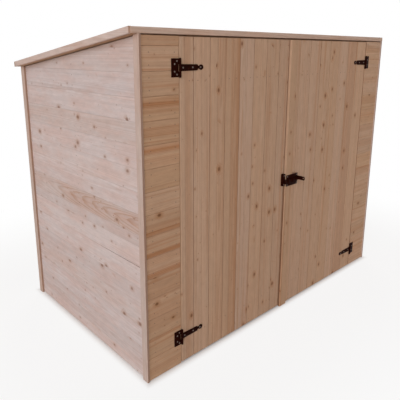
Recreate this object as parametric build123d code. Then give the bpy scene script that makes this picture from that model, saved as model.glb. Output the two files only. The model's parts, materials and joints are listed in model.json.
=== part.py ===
# Wooden bike shed: board walls on a batten frame, pent roof, two board doors on T hinges, sliding bolt.
# Millimetres. +Z is up, +X runs to the right along the front and +Y from the front to the back.
# The origin lies on the ground under the middle of the whole shed.
import os
from math import cos, radians, tan

from build123d import *

# Walls
wall_width = 1888.0
wall_depth = 1104.0
board_thick = 16.0
board_foot_gap = 2.0
front_board_top = 1491.5
side_board_gap = 3.5
corner_strip_thick = 12.0
corner_strip_wide = 36.0
corner_strip_proud = 4.0

# Batten frame behind the boards
post_wide = 40.0
rail_thick = 28.0
rail_high = 45.0
header_high = 60.0
stud_wide = 45.0
back_stud_shares = (1 / 3, 2 / 3)
purlin_wide = 45.0
purlin_high = 70.0

# Roof, laid a little off centre to the left
roof_pitch_deg = 7.4
roof_gap = 5.5
deck_thick = 20.0
felt_thick = 2.5
fascia_thick = 14.0
fascia_high = 26.5
front_fascia_drop = 3.5
roof_left_reach = 46.0
roof_right_reach = 12.0
roof_front_reach = 5.0
roof_back_reach = 0.0

# Doors
left_panel_wide = 186.0
right_panel_wide = 181.0
door_gap = 5.0
meeting_gap = 6.0
meeting_offset = 26.0
door_foot_gap = 8.0
door_top_drop = 2.0
right_door_drop = 3.0
header_gap = 6.0
ledge_wide = 95.0
ledge_thick = 28.0
ledge_inset = 30.0
ledge_top_drop = 70.0
ledge_foot_rise = 70.0
brace_wide = 80.0
cover_strip_wide = 55.0
cover_strip_thick = 12.0
cover_strip_drop = 3.0

# T hinges
hinge_top_drop = 123.5
left_hinge_rise = 135.0
right_hinge_rise = 117.0
hinge_leaf_thick = 2.5
hinge_plate_wide = 36.0
hinge_plate_high = 74.0
knuckle_radius = 5.0
knuckle_stand_off = 6.0
knuckle_mid_high = 28.0
knuckle_end_gap = 0.5
leaf_knuckle_gap = 1.5
pin_radius = 2.4
pin_play = 0.2
pin_head_radius = 3.6
pin_head_high = 2.0
strap_long = 132.0
strap_body_long = 101.0
strap_end_high = 25.0
strap_corner = 4.0
strap_neck_high = 12.0
strap_tip_long = 26.0
strap_tip_high = 22.0

# Sliding bolt, packed out level with the cover strip
latch_height = 754.0
latch_plate_wide = 100.0
latch_plate_high = 62.0
latch_plate_thick = 2.5
latch_edge_inset = 4.0
bolt_high = 16.0
bolt_thick = 8.0
bolt_play = 0.4
bolt_tip_reach = 1.5
bolt_chamfer = 3.0
staple_wide = 12.0
staple_wall = 3.0
staple_round = 2.5
staple_inset = 4.0
staple_space = 28.0
handle_thick = 5.0
handle_high = 20.0
handle_reach = 64.0
handle_rise = 5.0
handle_round = 6.0
handle_end_inset = 1.0
padlock_hole_radius = 4.0
padlock_hole_inset = 9.0
keeper_plate_wide = 19.0
keeper_plate_high = 65.0
keeper_rise = 9.0
keeper_edge_inset = 1.0
keeper_staple_inset = 2.0

cut_overrun = 1.0

# Places worked out from the sizes above
front_reach = handle_reach
left_reach = max(roof_left_reach, corner_strip_thick)
right_reach = max(roof_right_reach, corner_strip_thick)
back_reach = roof_back_reach
x_left = -(wall_width + left_reach + right_reach) / 2 + left_reach
x_right = x_left + wall_width
y_front = -(wall_depth + front_reach + back_reach) / 2 + front_reach
y_back = y_front + wall_depth
x_mid = (x_left + x_right) / 2

y_board_back = y_front + board_thick
x_door_left = x_left + left_panel_wide
x_door_right = x_right - right_panel_wide
x_meeting = x_mid - meeting_offset + meeting_gap
x_left_door_end = x_meeting - meeting_gap
x_right_door_end = x_meeting

left_door_foot = door_foot_gap
right_door_foot = door_foot_gap - right_door_drop
door_top = front_board_top - door_top_drop
hinge_top_height = front_board_top - hinge_top_drop

y_latch = y_front - cover_strip_thick
y_bolt_back = y_latch - latch_plate_thick - bolt_play
y_bolt_front = y_bolt_back - bolt_thick

roof_under_front = front_board_top + roof_gap
roof_fall = tan(radians(roof_pitch_deg))
deck_rise = deck_thick / cos(radians(roof_pitch_deg))
felt_rise = felt_thick / cos(radians(roof_pitch_deg))
y_roof_front = y_front - roof_front_reach
y_roof_back = y_back + roof_back_reach
x_roof_left = x_left - roof_left_reach
x_roof_right = x_right + roof_right_reach


def roof_under(y):
    """Height of the roof deck's underside at depth y."""
    return roof_under_front - roof_fall * (y - y_front)


def deck_top(y):
    """Height of the roof deck's upper face at depth y."""
    return roof_under(y) + deck_rise


def felt_top(y):
    """Height of the felt's upper face at depth y."""
    return deck_top(y) + felt_rise


def fascia_top(y):
    """Height of the upper edge of the side and back edge boards at depth y."""
    return roof_under(y) + fascia_high


def front_fascia_top(y):
    """Height of the front edge board's upper edge at depth y, a little below the others."""
    return fascia_top(y) - front_fascia_drop


def block(x0, x1, y0, y1, z0, z1):
    """Rectangular timber or plate between two corners."""
    corner = Align.MIN
    return Pos(x0, y0, z0) * Box(x1 - x0, y1 - y0, z1 - z0, align=(corner, corner, corner))


def along_x(points, x0, x1):
    """Solid with an outline in Y and Z, running from x0 to x1."""
    outline = make_face(Polyline(*points, close=True))
    return extrude(Plane.YZ.offset(x0) * outline, x1 - x0)


def along_y(points, y0, y1):
    """Solid with an outline in X and Z, running from y0 back to y1."""
    outline = make_face(Polyline(*points, close=True))
    return extrude(Plane.XZ.offset(-y0) * outline, -(y1 - y0))


def under_roof(x0, x1, y0, y1, z0, gap=0):
    """Upright timber or wall whose top follows the underside of the roof, gap below it."""
    return along_x([(y0, z0), (y1, z0), (y1, roof_under(y1) - gap), (y0, roof_under(y0) - gap)], x0, x1)


def roof_layer(x0, x1, y0, y1, top_at, drop):
    """Sloping layer of one height, drop below the surface that top_at gives."""
    points = [(y0, top_at(y0)), (y1, top_at(y1)), (y1, top_at(y1) - drop), (y0, top_at(y0) - drop)]
    return along_x(points, x0, x1)


def rod_x(x0, x1, y, z, radius):
    """Round bar along X."""
    return Pos(x0, y, z) * Rot(0, 90, 0) * Cylinder(radius, x1 - x0, align=(Align.CENTER, Align.CENTER, Align.MIN))


def rod_z(x, y, z0, z1, radius):
    """Round bar along Z."""
    return Pos(x, y, z0) * Cylinder(radius, z1 - z0, align=(Align.CENTER, Align.CENTER, Align.MIN))


# Walls and corner strips
def wall_boards():
    side_y = (y_board_back, y_back - board_thick)
    back_y = (y_back - board_thick, y_back)
    return {
        "left_wall_boards": under_roof(
            x_left, x_left + board_thick, *side_y, board_foot_gap, side_board_gap
        ),
        "right_wall_boards": under_roof(
            x_right - board_thick, x_right, *side_y, board_foot_gap, side_board_gap
        ),
        "back_wall_boards": under_roof(x_left, x_right, *back_y, board_foot_gap),
        "front_left_panel": block(
            x_left, x_door_left, y_front, y_board_back, board_foot_gap, front_board_top
        ),
        "front_right_panel": block(
            x_door_right, x_right, y_front, y_board_back, board_foot_gap, front_board_top
        ),
    }


def corner_strips():
    strips = {}
    sides = {"left": (x_left - corner_strip_thick, x_left), "right": (x_right, x_right + corner_strip_thick)}
    front_y = y_front - corner_strip_proud
    ends = {"front": (front_y, front_y + corner_strip_wide), "back": (y_back - corner_strip_wide, y_back)}
    for side, side_x in sides.items():
        for end, end_y in ends.items():
            strips[f"{end}_{side}_corner_strip"] = under_roof(*side_x, *end_y, 0)
    return strips


# Posts and rails inside the boards
def frame_timbers():
    timbers = {}
    x_in_left = x_left + board_thick
    x_in_right = x_right - board_thick
    y_in_back = y_back - board_thick
    corners_x = {"left": (x_in_left, x_in_left + post_wide), "right": (x_in_right - post_wide, x_in_right)}
    corners_y = {"front": (y_board_back, y_board_back + post_wide), "back": (y_in_back - post_wide, y_in_back)}
    for side, side_x in corners_x.items():
        for end, end_y in corners_y.items():
            timbers[f"{end}_{side}_post"] = under_roof(*side_x, *end_y, 0)

    # Side rails run between the posts: one on the ground and one under the roof
    rail_y = (corners_y["front"][1], corners_y["back"][0])
    rails_x = {"left": (x_in_left, x_in_left + rail_thick), "right": (x_in_right - rail_thick, x_in_right)}
    for side, side_x in rails_x.items():
        ground_rail = block(*side_x, *rail_y, 0, rail_high)
        roof_rail = roof_layer(*side_x, *rail_y, roof_under, rail_high)
        timbers[f"{side}_wall_rails"] = Compound([ground_rail, roof_rail])

    across_x = (corners_x["left"][1], corners_x["right"][0])
    back_rail_y = (y_in_back - rail_thick, y_in_back)
    ground_rail = block(*across_x, *back_rail_y, 0, rail_high)
    roof_rail = under_roof(*across_x, *back_rail_y, roof_under(y_in_back) - rail_high)
    timbers["back_wall_rails"] = Compound([ground_rail, roof_rail])

    # The header stands clear behind the doors and the door posts carry it
    header_y = (y_board_back + header_gap, y_board_back + header_gap + rail_thick)
    header_foot = roof_under(y_front) - header_high
    timbers["door_header"] = under_roof(*across_x, *header_y, header_foot)
    post_y = (y_board_back, y_board_back + post_wide)
    timbers["left_door_post"] = block(x_door_left - rail_high, x_door_left, *post_y, 0, header_foot)
    timbers["right_door_post"] = block(x_door_right, x_door_right + rail_high, *post_y, 0, header_foot)

    # Studs stand between the rails: one in each side wall and two in the back wall
    def stud(x0, x1, y0, y1):
        return along_x(
            [
                (y0, rail_high),
                (y1, rail_high),
                (y1, roof_under(y1) - rail_high),
                (y0, roof_under(y0) - rail_high),
            ],
            x0,
            x1,
        )

    y_stud = (y_front + y_back - stud_wide) / 2
    studs = [stud(*side_x, y_stud, y_stud + stud_wide) for side_x in rails_x.values()]
    back_stud_top = roof_under(y_in_back) - rail_high
    for share in back_stud_shares:
        x_stud = x_left + wall_width * share - stud_wide / 2
        studs.append(block(x_stud, x_stud + stud_wide, *back_rail_y, rail_high, back_stud_top))
    timbers["wall_studs"] = Compound(studs)

    y_purlin = (y_front + y_back - purlin_wide) / 2
    purlin_x = (rails_x["left"][1], rails_x["right"][0])
    timbers["roof_purlin"] = roof_layer(*purlin_x, y_purlin, y_purlin + purlin_wide, roof_under, purlin_high)
    return timbers


# Roof deck, felt and the edge boards round them
def roof_pieces():
    inner_x = (x_roof_left + fascia_thick, x_roof_right - fascia_thick)
    inner_y = (y_roof_front + fascia_thick, y_roof_back - fascia_thick)
    full_x = (x_roof_left, x_roof_right)
    return {
        "roof_deck": roof_layer(*inner_x, *inner_y, deck_top, deck_rise),
        "roof_felt": roof_layer(*inner_x, *inner_y, felt_top, felt_rise),
        "front_fascia": roof_layer(
            *full_x, y_roof_front, inner_y[0], front_fascia_top, fascia_high - front_fascia_drop
        ),
        "back_fascia": roof_layer(*full_x, inner_y[1], y_roof_back, fascia_top, fascia_high),
        "left_fascia": roof_layer(x_roof_left, inner_x[0], *inner_y, fascia_top, fascia_high),
        "right_fascia": roof_layer(inner_x[1], x_roof_right, *inner_y, fascia_top, fascia_high),
    }


# Ledged and braced doors
def door(name, x_hinge_edge, x_free_edge, z_foot):
    x0, x1 = sorted((x_hinge_edge, x_free_edge))
    ledge_x = (x0 + ledge_inset, x1 - ledge_inset)
    ledge_y = (y_board_back, y_board_back + ledge_thick)
    low_ledge_top = z_foot + ledge_foot_rise + ledge_wide
    top_ledge_foot = front_board_top - header_high - ledge_top_drop - ledge_wide
    low_ledge = block(*ledge_x, *ledge_y, low_ledge_top - ledge_wide, low_ledge_top)
    top_ledge = block(*ledge_x, *ledge_y, top_ledge_foot, top_ledge_foot + ledge_wide)

    # The brace climbs from the hinge side at the low ledge to the free edge at the top ledge
    inward = 1 if x_free_edge > x_hinge_edge else -1
    x_foot = x_hinge_edge + inward * ledge_inset
    x_head = x_free_edge - inward * ledge_inset
    brace_run = inward * brace_wide
    brace = along_y(
        [
            (x_foot, low_ledge_top),
            (x_foot + brace_run, low_ledge_top),
            (x_head, top_ledge_foot),
            (x_head - brace_run, top_ledge_foot),
        ],
        *ledge_y,
    )
    return {
        f"{name}_door_boards": block(x0, x1, y_front, y_board_back, z_foot, door_top),
        f"{name}_door_ledges": Compound([low_ledge, top_ledge]),
        f"{name}_door_brace": brace,
    }


def doors():
    pieces = door("left", x_door_left + door_gap, x_left_door_end, left_door_foot)
    pieces.update(door("right", x_door_right - door_gap, x_right_door_end, right_door_foot))
    pieces["door_cover_strip"] = block(
        x_right_door_end,
        x_right_door_end + cover_strip_wide,
        y_front - cover_strip_thick,
        y_front,
        right_door_foot - cover_strip_drop,
        door_top,
    )
    return pieces


# T hinges: a plate with two knuckles on the panel, a strap with one knuckle on the door, and a pin
def knuckle(x, z0, z1):
    y_pin = y_front - knuckle_stand_off
    barrel = rod_z(x, y_pin, z0, z1, knuckle_radius)
    return barrel - rod_z(x, y_pin, z0 - cut_overrun, z1 + cut_overrun, pin_radius + pin_play)


def hinge_plate(x_pin, z_mid, outward):
    leaf_y = (y_front - hinge_leaf_thick, y_front)
    near = x_pin + outward * (knuckle_radius + leaf_knuckle_gap)
    far = near + outward * hinge_plate_wide
    plate = block(*sorted((near, far)), *leaf_y, z_mid - hinge_plate_high / 2, z_mid + hinge_plate_high / 2)
    inner = knuckle_mid_high / 2 + knuckle_end_gap
    outer = hinge_plate_high / 2
    for z0, z1 in ((z_mid - outer, z_mid - inner), (z_mid + inner, z_mid + outer)):
        tab = block(*sorted((near, x_pin)), *leaf_y, z0, z1)
        plate = plate + tab + knuckle(x_pin, z0, z1)
    return plate


def hinge_strap(x_pin, z_mid, inward):
    leaf_y = (y_front - hinge_leaf_thick, y_front)
    root = knuckle_mid_high / 2
    end = strap_end_high / 2
    neck = strap_neck_high / 2
    near = x_pin + inward * (knuckle_radius + leaf_knuckle_gap)
    x_end = x_pin + inward * strap_body_long
    x_corner = x_end - inward * strap_corner
    x_tip = x_pin + inward * (strap_long - strap_tip_long / 2)
    body = along_y(
        [
            (near, z_mid - root),
            (near, z_mid + root),
            (x_corner, z_mid + end),
            (x_end, z_mid + end - strap_corner),
            (x_end, z_mid - end + strap_corner),
            (x_corner, z_mid - end),
        ],
        *leaf_y,
    )
    neck_bar = block(*sorted((x_end, x_tip)), *leaf_y, z_mid - neck, z_mid + neck)
    tip_outline = Pos(x_tip, z_mid) * Ellipse(strap_tip_long / 2, strap_tip_high / 2)
    tip = extrude(Plane.XZ.offset(-y_front) * tip_outline, hinge_leaf_thick)
    tab = block(*sorted((near, x_pin)), *leaf_y, z_mid - root, z_mid + root)
    return body + neck_bar + tip + tab + knuckle(x_pin, z_mid - root, z_mid + root)


def hinge_pin(x_pin, z_mid):
    y_pin = y_front - knuckle_stand_off
    half = hinge_plate_high / 2
    shank = rod_z(x_pin, y_pin, z_mid - half, z_mid + half, pin_radius)
    top_head = rod_z(x_pin, y_pin, z_mid + half, z_mid + half + pin_head_high, pin_head_radius)
    low_head = rod_z(x_pin, y_pin, z_mid - half - pin_head_high, z_mid - half, pin_head_radius)
    return shank + top_head + low_head


def hinges():
    pieces = {}
    sides = {
        "left": (x_door_left + door_gap / 2, 1, left_door_foot + left_hinge_rise),
        "right": (x_door_right - door_gap / 2, -1, right_door_foot + right_hinge_rise),
    }
    for side, (x_pin, inward, low_height) in sides.items():
        heights = (low_height, hinge_top_height)
        pieces[f"{side}_hinge_plates"] = Compound([hinge_plate(x_pin, z, -inward) for z in heights])
        pieces[f"{side}_hinge_straps"] = Compound([hinge_strap(x_pin, z, inward) for z in heights])
        pieces[f"{side}_hinge_pins"] = Compound([hinge_pin(x_pin, z) for z in heights])
    return pieces


# Sliding bolt on the right door with its keeper on the left door
def staple(x0):
    """Strap bent round the bolt, its two feet on the plate."""
    x1 = x0 + staple_wide
    y_plate = y_latch - latch_plate_thick
    y_inside = y_bolt_front - bolt_play
    inside = bolt_high / 2 + bolt_play
    outside = inside + staple_wall
    strap = block(x0, x1, y_inside - staple_wall, y_plate, latch_height - outside, latch_height + outside)
    strap = fillet(strap.edges().filter_by(Axis.X).group_by(Axis.Y)[0], staple_round)
    cut_x = (x0 - cut_overrun, x1 + cut_overrun)
    cut_y = (y_inside, y_plate + cut_overrun)
    return strap - block(*cut_x, *cut_y, latch_height - inside, latch_height + inside)


def bolt(x_tip, x_end):
    """Flat bar with a bevelled tip and an upright tab that is drilled for a padlock."""
    half = bolt_high / 2
    bar = block(x_tip, x_end, y_bolt_front, y_bolt_back, latch_height - half, latch_height + half)
    bar = chamfer(bar.faces().sort_by(Axis.X)[0].edges().filter_by(Axis.Y), bolt_chamfer)
    half_tab = handle_high / 2
    tab_mid = latch_height + handle_rise
    y_tab = y_front - handle_reach
    x_tab = x_end - handle_thick
    tab = block(x_tab, x_end, y_tab, y_bolt_back, tab_mid - half_tab, tab_mid + half_tab)
    tab = fillet(tab.edges().filter_by(Axis.X).group_by(Axis.Y)[0], handle_round)
    hole_x = (x_tab - cut_overrun, x_end + cut_overrun)
    return bar + tab - rod_x(*hole_x, y_tab + padlock_hole_inset, tab_mid, padlock_hole_radius)


def latch():
    plate_y = (y_latch - latch_plate_thick, y_latch)
    pad_y = (y_latch, y_front)
    plate_x = (x_right_door_end + latch_edge_inset, x_right_door_end + latch_edge_inset + latch_plate_wide)
    plate_z = (latch_height - latch_plate_high / 2, latch_height + latch_plate_high / 2)
    x_staple = plate_x[0] + staple_inset
    plate = block(*plate_x, *plate_y, *plate_z)
    plate = plate + staple(x_staple) + staple(x_staple + staple_wide + staple_space)

    x_keeper = x_left_door_end - keeper_edge_inset
    keeper_x = (x_keeper - keeper_plate_wide, x_keeper)
    keeper_mid = latch_height + keeper_rise
    keeper_z = (keeper_mid - keeper_plate_high / 2, keeper_mid + keeper_plate_high / 2)
    keeper = block(*keeper_x, *plate_y, *keeper_z) + staple(x_keeper - keeper_staple_inset - staple_wide)
    return {
        "latch_pad": block(x_right_door_end + cover_strip_wide, plate_x[1], *pad_y, *plate_z),
        "latch_plate": plate,
        "latch_bolt": bolt(x_right_door_end - bolt_tip_reach, plate_x[1] - handle_end_inset),
        "keeper_pad": block(*keeper_x, *pad_y, *keeper_z),
        "latch_keeper": keeper,
    }


def shed():
    pieces = {}
    for make in (wall_boards, corner_strips, frame_timbers, roof_pieces, doors, hinges, latch):
        pieces.update(make())
    return pieces


os.makedirs("parts", exist_ok=True)
for node, shape in shed().items():
    export_step(shape, f"parts/{node}.step")
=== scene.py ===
"""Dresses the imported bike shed: single boards, eased timbers, felt, ironmongery, light and camera."""
import json
import math
import random

import bmesh
import bpy
import numpy as np
from mathutils import Euler, Matrix, Vector

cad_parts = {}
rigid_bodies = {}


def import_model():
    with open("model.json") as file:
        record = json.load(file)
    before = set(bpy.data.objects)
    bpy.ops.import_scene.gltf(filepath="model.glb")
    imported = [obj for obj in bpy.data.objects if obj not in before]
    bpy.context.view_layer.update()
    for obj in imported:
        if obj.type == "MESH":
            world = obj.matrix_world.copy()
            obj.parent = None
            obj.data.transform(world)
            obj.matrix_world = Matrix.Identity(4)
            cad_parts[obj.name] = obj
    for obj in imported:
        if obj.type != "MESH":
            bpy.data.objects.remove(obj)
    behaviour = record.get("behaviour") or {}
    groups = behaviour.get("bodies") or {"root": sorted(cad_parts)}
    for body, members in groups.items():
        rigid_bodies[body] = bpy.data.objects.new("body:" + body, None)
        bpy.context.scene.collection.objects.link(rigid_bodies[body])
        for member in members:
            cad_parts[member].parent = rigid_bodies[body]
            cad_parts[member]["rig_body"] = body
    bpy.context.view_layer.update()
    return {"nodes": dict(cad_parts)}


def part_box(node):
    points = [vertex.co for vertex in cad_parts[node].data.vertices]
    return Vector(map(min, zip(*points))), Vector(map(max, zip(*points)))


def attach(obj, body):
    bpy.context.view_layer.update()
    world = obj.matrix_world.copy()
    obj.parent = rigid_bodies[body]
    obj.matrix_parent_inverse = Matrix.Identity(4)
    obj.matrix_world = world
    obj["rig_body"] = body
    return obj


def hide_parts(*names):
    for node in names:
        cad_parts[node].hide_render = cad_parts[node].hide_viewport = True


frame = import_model()

X = Vector((1, 0, 0))
Y = Vector((0, 1, 0))
Z = Vector((0, 0, 1))

# Tongue and groove boards, in metres
BOARD_COVER = 0.096
LOWEST_BOARD = 0.102
LOWEST_SIDE_BOARD = 0.054
LOWEST_FRONT_BOARD = 0.107
LEFT_DOOR_FIRST_BOARD = 0.076
RIGHT_DOOR_FIRST_BOARD = 0.107
TONGUE_LONG = 0.005
TONGUE_SHARES = (0.36, 0.66)
GROOVE_PLAY = 0.0005
LAY_UNEVEN = 0.0005
CENTRE_GROOVE = (0.001, 0.001)
DOOR_EDGE_BEVEL = (0.003, 0.007)

# V joints between boards: chamfer of the near edge, chamfer of the far edge, and gap left at each
SIDE_JOINT = (0.0007, 0.0007, 0.0001)
LEFT_PANEL_JOINT = (0.0016, 0.0018, 0.0003)
RIGHT_PANEL_JOINT = (0.0008, 0.0008, 0.0002)
DOOR_JOINT = (0.0011, 0.0011, 0.0008)
# Door joints darkened and browned below the face: partly dirt, partly painted shade
DOOR_JOINT_DIRT_AND_SHADE_TONE = 0.58
DOOR_JOINT_DIRT_AND_SHADE_HEART = 0.5

# Odd boards of the side walls: one of half width, and one whose joint gapes at the front by a width
# and has closed at a share of the wall's length
SIDE_HALF_BOARD = 7
SIDE_OPEN_JOINT = {6: (0.0045, 0.45)}

# Edges eased by planing, or by the press for iron, and the angles that count as flat and as sharp
TIMBER_EDGE = 0.0015
IRON_EDGE = 0.0004
EASE_SEGMENTS = 2
FLAT_ANGLE = math.radians(0.5)
SHARP_ANGLE = math.radians(35)
FELT_SHARP_ANGLE = math.radians(40)

# Points nearer than these count as one point, as on a cutting plane, and as on one edge
WELD_REACH = 0.000005
CUT_REACH = 0.0000001
SAME_EDGE_REACH = 0.0001

# How a sawn log shows in a piece: the heart's place beside and behind its face, and how it runs off line
PITH_SIDE = 0.05
PITH_DEPTH = (0.015, 0.085)
PITH_SLANT = 0.014
FIGURED_SLANT = 0.034
GRAIN_SHIFT = 60.0
END_GRAIN_FACING = 0.8
EDGE_FACING = 0.99

# How much pieces of one kind differ in warmth, tone, knots and bands
WARMTH_SPREAD = 0.07
TONE_SPREAD = (0.95, 1.05)
KNOT_SPREAD = (0.3, 1.8)
BAND_SPREAD = (0.6, 1.0)

# How much darker the cover strip's edge is painted, as painted shade standing in for the shade of the gap
# between the doors, and where that painted shade turns from none to full: down its height, through its
# thickness, and as its edge turns to the gap between the doors
PAINTED_SHADE_DARK = 0.6
PAINTED_SHADE_HEIGHTS = (0.8, 0.72)
PAINTED_SHADE_DEPTH_SHARES = (0.35, 0.6)
PAINTED_SHADE_FACING = (0.4, 0.8)

# A board is cut for a change of heartwood only between its groove and its tongue
BAND_CUT_SHARES = (0.065, 0.935)

# Nails and screws, with their heads' outlines as shares of radius and height
NAIL_RADIUS = 0.0023
NAIL_PROUD = 0.0003
NAIL_SIDES = 10
NAIL_OUTLINE = ((1.0, -1.0), (1.0, 0.5), (0.7, 1.0))
NAIL_EDGE_SHARES = (0.25, 0.75)
NAIL_TOP_CLEAR = 0.012
STUD_NAIL_INSET = 0.02
BACK_STUD_REACH = 0.06
CLOUT_RADIUS = 0.004
CLOUT_PROUD = 0.0008
CLOUT_SPACING = 0.11
CLOUT_INSET = 0.018
SCREW_RADIUS = 0.0036
SCREW_HIGH = 0.0016
SCREW_SLOT = 0.0010
SCREW_SIDES = 16
SCREW_FOOT_OUTLINE = ((1.0, -0.2), (1.0, 0.35))
SCREW_HALF_OUTLINE = ((0.96, 0.35), (0.86, 0.7), (0.55, 1.0))
LEAF_THICK = 0.0025
KNUCKLE_REACH = 0.0065
PLATE_SCREW_SHARES = ((0.80, 0.14), (0.45, 0.30), (0.45, 0.70), (0.80, 0.86))
STRAP_SCREW_SHARES = (0.14, 0.54, 0.87)
LATCH_SCREW_INSET = 0.008

# Roofing felt
FELT_THICK = 0.0016
FELT_LAP = 0.09
FELT_ROLL = 0.75
FELT_WAVE = 0.0004
FELT_CELL = 0.03
FELT_EDGE_CELLS = 2


# Shader helper
class Shader:
    """Adds and joins the nodes of a material or a world."""

    def __init__(self, owner, surface="Principled BSDF"):
        owner.use_nodes = True
        self.owner = owner
        self.tree = owner.node_tree
        self.surface = self.tree.nodes[surface]

    def feed(self, socket, value):
        if isinstance(value, bpy.types.NodeSocket):
            self.tree.links.new(value, socket)
        else:
            socket.default_value = value

    def add(self, kind, inputs, **settings):
        node = self.tree.nodes.new(kind)
        for key, value in settings.items():
            setattr(node, key, value)
        for key, value in inputs.items():
            self.feed(node.inputs[key], value)
        return node

    def math(self, operation, a, b=0.0):
        return self.add("ShaderNodeMath", {0: a, 1: b}, operation=operation).outputs[0]

    def times(self, a, b):
        return self.math("MULTIPLY", a, b)

    def stretch(self, vector, scale):
        return self.add("ShaderNodeVectorMath", {0: vector, 1: scale}, operation="MULTIPLY").outputs[0]

    def split(self, vector):
        return self.add("ShaderNodeSeparateXYZ", {0: vector}).outputs

    def noise(self, vector, scale=1.0, detail=2.0, roughness=0.5):
        inputs = {"Vector": vector, "Scale": scale, "Detail": detail, "Roughness": roughness}
        return self.add("ShaderNodeTexNoise", inputs).outputs[0]

    def ease(self, value, start, end, low=0.0, high=1.0):
        """Smooth step of value from start to end, giving low to high."""
        inputs = {0: value, 1: start, 2: end, 3: low, 4: high}
        return self.add("ShaderNodeMapRange", inputs, interpolation_type="SMOOTHSTEP").outputs[0]

    def span(self, value, low, high):
        """Straight map of 0 to 1 onto low to high."""
        return self.add("ShaderNodeMapRange", {0: value, 3: low, 4: high}).outputs[0]

    def mix(self, factor, a, b, blend="MIX"):
        inputs = {0: factor, 6: a, 7: b}
        return self.add("ShaderNodeMix", inputs, data_type="RGBA", blend_type=blend).outputs[2]

    def bump(self, height, strength, distance):
        inputs = {"Height": height, "Strength": strength, "Distance": distance}
        self.feed(self.surface.inputs["Normal"], self.add("ShaderNodeBump", inputs).outputs[0])

    def coat(self, base, roughness):
        self.feed(self.surface.inputs["Base Color"], base)
        self.feed(self.surface.inputs["Roughness"], roughness)

    def white_to_eye(self, output, white_kind, white_share):
        """Mixes plain white over the surface where the eye, or a mirror or glass, looks straight at it."""
        path = self.add("ShaderNodeLightPath", {}).outputs
        seen = self.math("MAXIMUM", path["Is Camera Ray"], path["Is Glossy Ray"])
        seen = self.math("MAXIMUM", seen, path["Is Transmission Ray"])
        white = self.add(white_kind, {"Color": (1, 1, 1, 1), "Strength": 1.0})
        inputs = {0: self.times(seen, white_share), 1: self.surface.outputs[0], 2: white.outputs[0]}
        join = self.add("ShaderNodeMixShader", inputs)
        self.feed(self.tree.nodes[output].inputs["Surface"], join.outputs[0])


def colour(red, green, blue):
    """Linear colour from screen values of 0 to 255."""
    def linear(value):
        share = value / 255
        return share / 12.92 if share <= 0.04045 else ((share + 0.055) / 1.055) ** 2.4
    return (linear(red), linear(green), linear(blue), 1.0)


# Colours of the wood, the iron, the fixings and the felt
# Pale sapwood, on the side walls, is partly painted light for their lit faces; warm sapwood, on the front,
# partly painted warm shade
PALE_SAPWOOD_PAINTED_LIGHT = colour(208, 195, 191)
BLUSHED_SAPWOOD_PAINTED_LIGHT = colour(206, 185, 178)
WARM_SAPWOOD_PAINTED_SHADE = colour(196, 160, 129)
LATE_WOOD = colour(164, 120, 84)
HEARTWOOD = colour(174, 118, 78)
KNOT_HALO = colour(168, 114, 70)
KNOT_CORE = colour(110, 70, 46)
# Brown of end grain and sawn edges; on the corner strips' sawn edges it is partly painted shade
SAWN_AND_SHADED_EDGE = colour(134, 92, 62)
# Paler planed bevels: partly fresh wood, partly painted light lifting the shade of the gap beside them
PLANED_EDGE_AND_PAINTED_LIGHT = colour(220, 182, 146)
IRON_DARK = colour(26, 6, 2)
IRON_LIGHT = colour(42, 11, 5)
IRON_WORN = colour(66, 27, 13)
SCREW_COLOURS = (colour(150, 134, 124), colour(70, 56, 48))
NAIL_COLOURS = (colour(150, 122, 102), colour(104, 78, 62))
GRIT_DARK = colour(40, 42, 44)
GRIT_LIGHT = colour(104, 104, 102)
FELT_WALKED = colour(62, 60, 56)

# How each kind of mark in the wood is stretched along, across and through a board
WHORL_GRAIN = (4.5, 6.0, 0.0)
KNOT_GRAIN = (0.75, 1.0, 0.0)
RING_GRAIN = (0.05, 1.0, 1.0)
FIBRE_GRAIN = (4.0, 520.0, 520.0)
STREAK_GRAIN = (0.9, 95.0, 95.0)
NARROW_BAND_GRAIN = (0.8, 55.0, 55.0)
WIDE_BAND_GRAIN = (0.5, 20.0, 20.0)
MOTTLE_GRAIN = (22.0, 60.0, 60.0)
BLUSH_GRAIN = (5.0, 16.0, 16.0)

# How fine the knots' ragged edges and the growth rings are
RAGGED_SCALE = 260.0
RING_SCALE = 85.0

# Knots: cells a metre, least radius and greatest radius, and the share of pin knots to knots
KNOTS = (11.0, 0.003, 0.0085)
PIN_KNOTS = (27.0, 0.0012, 0.0022)
PIN_KNOT_SHARE = 0.3

# Gloss of the wood and the iron
WOOD_SPECULAR = 0.1
IRON_SPECULAR = 0.015


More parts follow.
